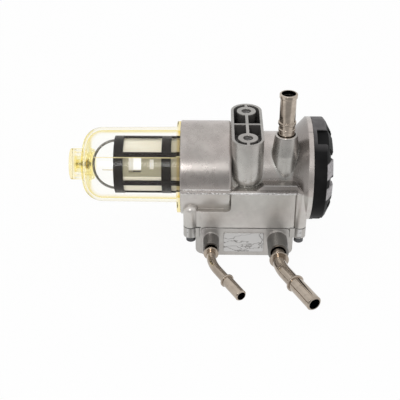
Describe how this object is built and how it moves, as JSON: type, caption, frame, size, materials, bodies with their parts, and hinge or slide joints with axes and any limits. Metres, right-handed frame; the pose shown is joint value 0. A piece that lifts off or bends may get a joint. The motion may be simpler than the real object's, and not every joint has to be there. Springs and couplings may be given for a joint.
{
  "type": "electric fuel pump",
  "caption": "Frame-mounted fuel pump module: cast housing with mounting pad, clear water bowl with drain knob, screw-in filter cap, hose nipple and bent quick-connect tubes.",
  "frame": {"origin": "centre of the mounting face, midway between its two tapped holes", "axes": "+Z leaves the mounting face, +X runs from the water bowl to the filter cap, +Y points away from the tubes"},
  "size_m": [0.2261, 0.1867, 0.146],
  "materials": {
    "cast_aluminium": "satin die casting",
    "cover_casting": "dull die casting",
    "turned_aluminium": "turned",
    "plated_steel": "champagne plated",
    "stem_steel": "ground",
    "spring_steel": "drawn wire",
    "hoop_wire": "drawn wire",
    "case_steel": "zinc plated",
    "tin_plate": "tin plated",
    "sintered_steel": "sintered",
    "ferrite": "pressed",
    "dark_screw": "black oxide",
    "black_plastic": "satin moulded",
    "cage_plastic": "moulded",
    "cream_plastic": "moulded",
    "end_disc_plastic": "moulded",
    "clear_plastic": "clear moulded",
    "clear_knob": "clear moulded",
    "filter_paper": "pleated paper",
    "gasket": "pressed sheet",
    "seal_rubber": "moulded",
    "copper": "enamelled",
    "brass": "turned",
    "carbon": "pressed"
  },
  "bodies": {
    "base": {"main_housing": "cast_aluminium", "pump_cover": "cover_casting", "cover_gasket": "gasket", "cover_screws": "dark_screw", "hose_nipple": "plated_steel", "nipple_o_ring": "seal_rubber", "small_tube": "plated_steel", "large_tube": "plated_steel", "tube_o_rings": "seal_rubber", "standpipe": "turned_aluminium", "bowl": "clear_plastic", "bowl_seal": "seal_rubber", "strainer_cage": "cage_plastic", "strainer_screen": "cream_plastic", "wire_hoop": "hoop_wire", "motor_case": "case_steel", "discharge_end": "turned_aluminium", "relief_plug": "brass", "relief_spring": "spring_steel", "gerotor_ring": "case_steel", "inlet_plate": "turned_aluminium", "magnets": "ferrite", "brushes": "carbon", "brush_springs": "spring_steel", "brush_cap": "cage_plastic", "shaft_bushes": "brass", "check_spring": "spring_steel", "connector": "black_plastic", "terminals": "brass"},
    "filter_element": {"filter_media": "filter_paper", "filter_core": "tin_plate", "filter_end_left": "end_disc_plastic", "filter_end_right": "end_disc_plastic"},
    "cap": {"filter_cap": "black_plastic", "cap_o_ring": "seal_rubber"},
    "stem": {"drain_stem": "stem_steel", "drain_o_ring": "seal_rubber"},
    "knob": {"drain_knob": "clear_knob"},
    "rotor": {"motor_shaft": "stem_steel", "armature_core": "sintered_steel", "windings": "copper", "commutator": "copper", "inner_rotor": "sintered_steel"},
    "ring_rotor": {"outer_rotor": "sintered_steel"},
    "relief_valve": {"relief_poppet": "stem_steel"},
    "check_valve": {"check_ball": "stem_steel"}
  },
  "joints": [
    {"name": "filter_travel", "type": "slide", "parent": "base", "child": "filter_element", "axis": [1, 0, 0], "range_m": [0, 0.008]},
    {"name": "cap_turn", "type": "hinge", "parent": "filter_element", "child": "cap", "pos_m": [0.05, 0, -0.0427], "axis": [1, 0, 0], "range_deg": [0, 720]},
    {"name": "drain_travel", "type": "slide", "parent": "base", "child": "stem", "axis": [-1, 0, 0], "range_m": [0, 0.002]},
    {"name": "drain_turn", "type": "hinge", "parent": "stem", "child": "knob", "pos_m": [-0.148, 0, -0.0404], "axis": [-1, 0, 0], "range_deg": [0, 360]},
    {"name": "rotor_spin", "type": "hinge", "parent": "base", "child": "rotor", "pos_m": [0, 0.019, -0.0887], "axis": [1, 0, 0], "continuous": true},
    {"name": "ring_rotor_spin", "type": "hinge", "parent": "base", "child": "ring_rotor", "pos_m": [-0.02, 0.01995, -0.0887], "axis": [1, 0, 0], "continuous": true},
    {"name": "relief_lift", "type": "slide", "parent": "base", "child": "relief_valve", "axis": [-1, 0, 0], "range_m": [0, 0.0012], "stiffness_N_per_m": 300, "springref_m": -0.0014, "deforming": ["relief_spring"]},
    {"name": "check_lift", "type": "slide", "parent": "base", "child": "check_valve", "axis": [0, -1, 0], "range_m": [0, 0.002], "stiffness_N_per_m": 20, "springref_m": -0.003, "deforming": ["check_spring"]}
  ],
  "couplings": [
    {"joint": "filter_travel", "follows": "cap_turn", "m_per_rad": 0.00063662},
    {"joint": "drain_travel", "follows": "drain_turn", "m_per_rad": 0.00031831},
    {"joint": "ring_rotor_spin", "follows": "rotor_spin", "ratio": 0.85714}
  ]
}
